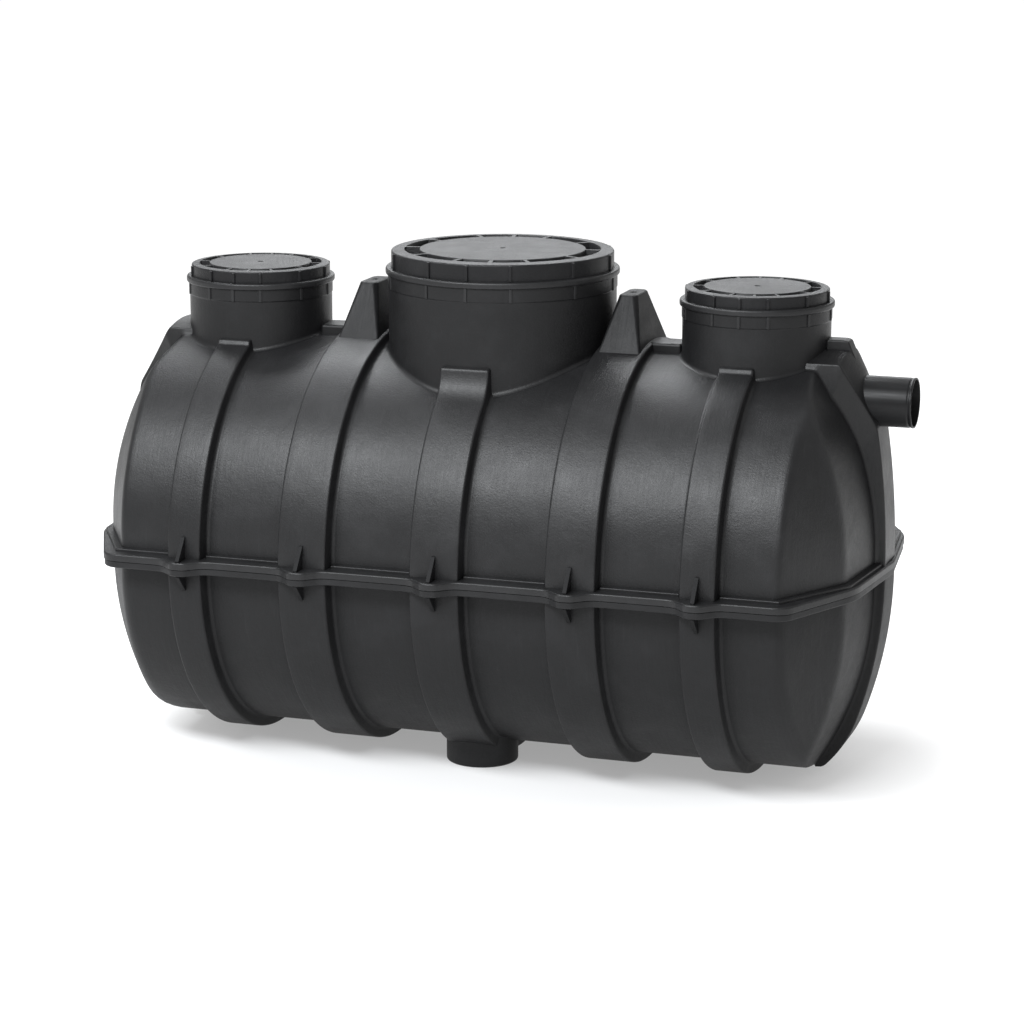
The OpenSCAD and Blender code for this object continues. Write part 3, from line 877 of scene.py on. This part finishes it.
def neck(where):
    """A neck with a flared foot that follows the body, and a faint band under its ring."""
    name = f"neck_{where}"
    centre_x, radius = centre_of(name)[0] - MID_X, half_of(name)[1]
    top = corners(name)[1][2]
    band_z = corners(f"ring_{where}")[1][2] - RING_HEIGHT - BAND_DROP[where]
    turn = full_circle(160)

    def circle(out):
        return centre_x + (radius + out) * np.cos(turn), (radius + out) * np.sin(turn)

    rows = []
    for a in quarter_turn(7):
        x, y = circle(FILLET * (1 - math.sin(a)))
        rows.append((x, y, crown(x, y) + FILLET * (1 - math.cos(a)) + LIFT))
    wall = [(0.0, band_z - 0.006), (0.0, band_z - 0.001), (NECK_BAND, band_z + 0.001)]
    wall = rounded(wall + [(NECK_BAND, top)], 0.002)
    inside = [(-WALL, top), (-WALL, top - INSIDE_DEPTH)]
    for out, height in wall + inside:
        rows.append((*circle(out), np.full(len(turn), height)))
    points = np.array([np.stack(row, -1) for row in rows])
    Piece().grid(to_frame(points), loop_v=True).show(name + "_wall", NECK, name)


def studs(piece, centre, radius, low, high):
    """Adds the small upright bars that stand out of a round wall."""
    inner, outer = radius - 0.003, radius + STUD_OUT
    for degrees in STUDS:
        turn = math.radians(degrees + FRONT)
        points = []
        for out, across, z in box_points((inner, -STUD_HALF, low), (outer, STUD_HALF, high)):
            x = out * math.cos(turn) - across * math.sin(turn)
            y = out * math.sin(turn) + across * math.cos(turn)
            points.append((centre[0] + x, centre[1] + y, z))
        piece.solid(points, 0.0016, 2)


def ring(where):
    """A rounded ring with studs hanging under it."""
    name = f"ring_{where}"
    centre, radius, outer = centre_of(name), half_of(f"neck_{where}")[1], half_of(name)[1]
    low, high = corners(name)
    foot, top = high[2] - RING_HEIGHT, high[2]
    section = [(radius - 0.004, foot), (outer, foot), (outer, top), (radius - 0.012, top)]
    piece = Piece().revolve(rounded(section, 0.0058, 7), (centre[0], 0, 0), steps=160)
    studs(piece, centre, radius, low[2], foot + 0.002)
    piece.show(name + "_bead", TRIM_UPPER, name, crisp=True)


def lid_pockets():
    """Angles round a lid, closer at its bars, and at each the share of a pocket's full depth."""
    bars = np.radians([degrees + FRONT + BAR_SHIFT for degrees in STUDS])
    steps = (-0.006, 0.0, BAR_SLOPE)
    extra = [bar + side * (BAR_HALF + step) for bar in bars for side in (-1, 1) for step in steps]
    turn = np.sort(np.concatenate([full_circle(120), np.mod(extra, 2 * math.pi)]))
    turn = turn[np.concatenate([[True], np.diff(turn) > 1e-4])]
    gap = np.min(np.abs(np.angle(np.exp(1j * (turn[:, None] - bars[None, :])))), axis=1)
    return turn, np.clip((gap - BAR_HALF) / BAR_SLOPE, 0, 1)


def lid(where):
    """A cap with a rounded rim and a ring of pockets, studs round its skirt and a dimpled middle."""
    name = f"lid_{where}"
    centre, radius = centre_of(name), half_of(f"neck_{where}")[1] - LID_BACK[where]
    low, high = corners(name)
    foot, top = low[2], high[2]
    face, brink = top - 0.0005, top - 0.0013
    outer, inner = POCKET_OUTER * radius, POCKET_INNER * radius
    turn, pocket = lid_pockets()
    rim = [(radius, foot - 0.001), (radius, top - 0.003), (0.96 * radius, top - 0.0022)]
    rim += [(0.885 * radius, top - 0.0012)]
    # the pockets' walls as (distance from the axis, share of the depth)
    walls = [(outer + POCKET_LEAN, 0), (outer, 0.3), (outer - POCKET_LEAN, 1)]
    walls += [(inner + POCKET_LEAN, 1), (inner, 0.3), (inner - POCKET_LEAN, 0)]
    disc = [(0.735 * radius, face), (0.3 * radius, face), (0.012, face), (0.007, face)]
    disc += [(0.0055, face - 0.0024), (AXIS, face - 0.0028)]
    rows = [(r, height + 0 * turn) for r, height in rounded(rim, 0.007, 7)]
    rows += [(r, brink - POCKET_DEPTH * share * pocket) for r, share in walls]
    rows += [(r, height + 0 * turn) for r, height in disc]
    points = [np.stack([centre[0] + r * np.cos(turn), r * np.sin(turn), z], -1) for r, z in rows]
    piece = Piece().grid(np.array(points), loop_v=True)
    studs(piece, centre, radius, foot, top - 0.005)
    piece.show(name + "_cap", LID, name, crisp=True)


# ---------- horns, ridges, pipe and feet ----------


def dimple(made, x, top):
    """Cuts a round dimple into the top of a piece."""
    profile = [(AXIS, -0.012), (0.0060, -0.010), (0.0085, 0.004), (AXIS, 0.004)]
    drill = Piece().revolve(profile, (x, 0, top), steps=24)
    cutter = add_object("drill", drill.mesh("drill", 0.0003))
    cut = made.modifiers.new("dimple", "BOOLEAN")
    cut.operation = "DIFFERENCE"
    cut.object = cutter
    made.modifiers.move(len(made.modifiers) - 1, 0)
    bpy.context.view_layer.objects.active = made
    bpy.ops.object.modifier_apply(modifier="dimple")
    bpy.data.objects.remove(cutter)


def horn(name):
    """A four-sided lifting horn with soft edges and a dimple in its top."""
    x, top = centre_of(name)[0], corners(name)[1][2]
    foot = (0.057, 0.135, RIB_TOP - 0.054)
    # the top's corners are cut off, so it has two outlines
    long_top, wide_top = (0.013, 0.050, top), (0.021, 0.037, top)
    points = []
    for wide, long, z in (foot, wide_top, long_top):
        points += [(x + sx * wide, sy * long, z) for sx in (1, -1) for sy in (1, -1)]
    made = Piece().solid(points, 0.0035).show(name + "_cap", HORN_SHADED, name, crisp=True)
    dimple(made, x, top)


def crown_ridges():
    """Level ridges along the crown, from the horns' ribs to the small necks."""
    piece = Piece()
    low, high = corners("crown_ridges")
    start = RIB_XS[3] + 0.045
    stop = centre_of("neck_right")[0] - MID_X - half_of("neck_right")[1] + 0.003
    points = box_points((start, low[1], RIB_TOP - 0.06), (stop, high[1], RIB_TOP))
    for side in (1, -1):
        piece.solid(to_frame(points, side), 0.007, 4)
    piece.show("crown_ridges_pair", NECK, "crown_ridges", crisp=True)


def outlet_ridge():
    """The narrow upright ridge over the outlet."""
    low, high = corners("outlet_ridge")
    start = corners("neck_right")[1][0] - MID_X - 0.003
    foot, top = low[2] + 0.008, high[2]
    line = [(start, foot), (start, top), (TIP - 0.092, top), (TIP - 0.084, top - 0.003)]
    line += [(TIP - 0.058, top - 0.064), (TIP - 0.056, foot)]
    points = [(x, y, z) for x, z in line for y in (low[1], high[1])]
    piece = Piece().solid(to_frame(points), 0.005, 4)
    piece.show("outlet_ridge_block", END_UPPER_SHADED, "outlet_ridge", crisp=True)


def outlet_pipe():
    """An open thin-walled pipe with a bead at its mouth, and a groove behind that."""
    low, high = corners("outlet_pipe")
    radius, centre_z = half_of("outlet_pipe")[2], centre_of("outlet_pipe")[2]
    start, mouth = low[0], high[0]
    bore, groove, wall = radius - 0.0036, radius - 0.0014, radius - 0.0004
    section = [(bore, start), (bore, mouth), (radius, mouth), (radius, mouth - 0.0045)]
    section += [(groove, mouth - 0.006), (groove, mouth - 0.009), (wall, mouth - 0.011)]
    section = rounded(section + [(wall, start)], 0.0015)
    piece = Piece().revolve(section, (0, 0, centre_z), along_x=True, steps=96)
    piece.show("outlet_pipe_tube", PIPE, "outlet_pipe")


def feet():
    """Two round feet under the middle rib."""
    radius, centre_x = half_of("feet")[0], centre_of("feet")[0]
    centre_y = corners("feet")[1][1] - radius
    section = rounded([(0.001, 0.0), (radius, 0.0), (radius, 0.10)], 0.005, 5)
    piece = Piece()
    for side in (1, -1):
        piece.revolve(section, (centre_x, side * centre_y, 0), steps=72)
    piece.show("feet_pair", TRIM_LOWER, "feet", crisp=True)


def soften(node, material):
    """Rounds the edges of a CAD node where it stands, and gives it its finish."""
    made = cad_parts[node]
    made.data.materials.clear()
    made.data.materials.append(material)
    weld = made.modifiers.new("weld", "WELD")
    weld.merge_threshold = 0.00001
    bevel = made.modifiers.new("bevel", "BEVEL")
    bevel.width = 0.0015
    bevel.segments = 2
    bevel.limit_method = "ANGLE"
    bevel.angle_limit = math.radians(25)
    normals = made.modifiers.new("flat faces", "WEIGHTED_NORMAL")
    normals.keep_sharp = False


# ---------- the tank, piece by piece ----------

for upper in (True, False):
    shell(upper)
    for side in (1, -1):
        end(upper, side)
    for number in RIB_NUMBERS:
        wrap_rib(number, upper)
for side in (1, -1):
    end_rib(side)
    boss(side)
upper_flange = flange(PART_Z + SEAM, FLANGE_TOP, inset=0.0, soft_top=0.0045, soft_foot=0.0012)
foot_steps(upper_flange)
upper_flange.show("flange_upper_ring", TRIM_UPPER, "flange_upper", crisp=True)
lower_flange = flange(FLANGE_LOW, PART_Z - SEAM, inset=0.002, soft_top=0.0012, soft_foot=0.0035)
lower_flange.show("flange_lower_ring", TRIM_LOWER, "flange_lower", crisp=True)
for where in ("left", "middle", "right"):
    neck(where)
    ring(where)
for where in ("left", "middle", "right"):
    lid(where)
horn("horn_left")
horn("horn_right")
crown_ridges()
outlet_ridge()
outlet_pipe()
feet()
soften("gussets_upper", FIN)
soften("gussets_lower", FIN)
soften("inlet_seal", SEAL)


# ---------- stage, light and camera ----------


def floor_material():
    """Pale floor that glows with painted light, less near the tank, and keeps soft, faint shadows."""
    s = Shader("floor_pale_glowing")
    x, y, _ = s.parts(s.point)
    patches = s.noise(s.point, 1.5, 3.0)
    s.set("Base Color", s.blend(patches, grey(0.54, 1.0), grey(0.58, 1.0)))
    s.set("Roughness", 0.9)
    s.set("Specular IOR Level", 0.0)
    s.set("Emission Color", (1, 1, 1, 1))
    # the floor glows with painted light: less near the tank, so that its shade there stays darker,
    # and more away from it, so that it fades into a white backdrop
    across = s.math("MULTIPLY", x, 0.75)
    squares = [s.math("MULTIPLY", part, part) for part in (across, y)]
    distance = s.math("SQRT", s.math("ADD", *squares))
    s.set("Emission Strength", s.remap(distance, 0.40, 0.95, 0.33, 0.73))
    return s.material


def floor():
    """A floor that runs out of sight."""
    reach = 60.0
    plan = [(-reach, -reach, 0), (reach, -reach, 0), (reach, reach, 0), (-reach, reach, 0)]
    mesh = bpy.data.meshes.new("floor")
    mesh.from_pydata(plan, [], [(0, 1, 2, 3)])
    mesh.materials.append(floor_material())
    add_object("floor", mesh)


def aim(made, place, target):
    """Stands a light or camera at a place and turns it to a target."""
    made.location = place
    made.rotation_mode = "QUATERNION"
    made.rotation_quaternion = (Vector(target) - Vector(place)).to_track_quat("-Z", "Y")


def softbox(name, place, target, wide, tall, power):
    """A rectangular studio light that looks at a point."""
    lamp = bpy.data.lights.new(name, "AREA")
    lamp.shape = "RECTANGLE"
    lamp.size = wide
    lamp.size_y = tall
    lamp.energy = power
    lamp.color = (0.95, 0.975, 1.0)
    aim(add_object(name, lamp), place, target)


def studio():
    """Even light from all round, and three softboxes: in front, above and behind."""
    world = bpy.data.worlds.new("studio")
    world.use_nodes = True
    back = world.node_tree.nodes["Background"]
    back.inputs["Color"].default_value = (1, 1, 1, 1)
    back.inputs["Strength"].default_value = 0.5
    bpy.context.scene.world = world
    softbox("softbox_front", (-0.9, -3.0, 3.5), (0, 0, 0.7), 4.0, 1.0, 285)
    softbox("softbox_top", (-1.0, 1.3, 3.4), (-0.2, 0, 0.8), 2.4, 0.5, 85)
    softbox("softbox_back", (-1.2, 5.5, 3.0), (0, 0, 0.8), 5.0, 1.4, 66)
    bpy.context.scene.view_settings.view_transform = "Standard"


def camera():
    """The reference view: 18 degrees to the right of square on, 13 degrees up, with a 110 mm lens."""
    lens = bpy.data.cameras.new("camera")
    lens.lens = 110
    lens.sensor_width = 36
    made = add_object("camera", lens)
    aim(made, (2.169, -6.574, 2.130), (0.0037, 0.0, 0.540))
    bpy.context.scene.camera = made


floor()
studio()
camera()
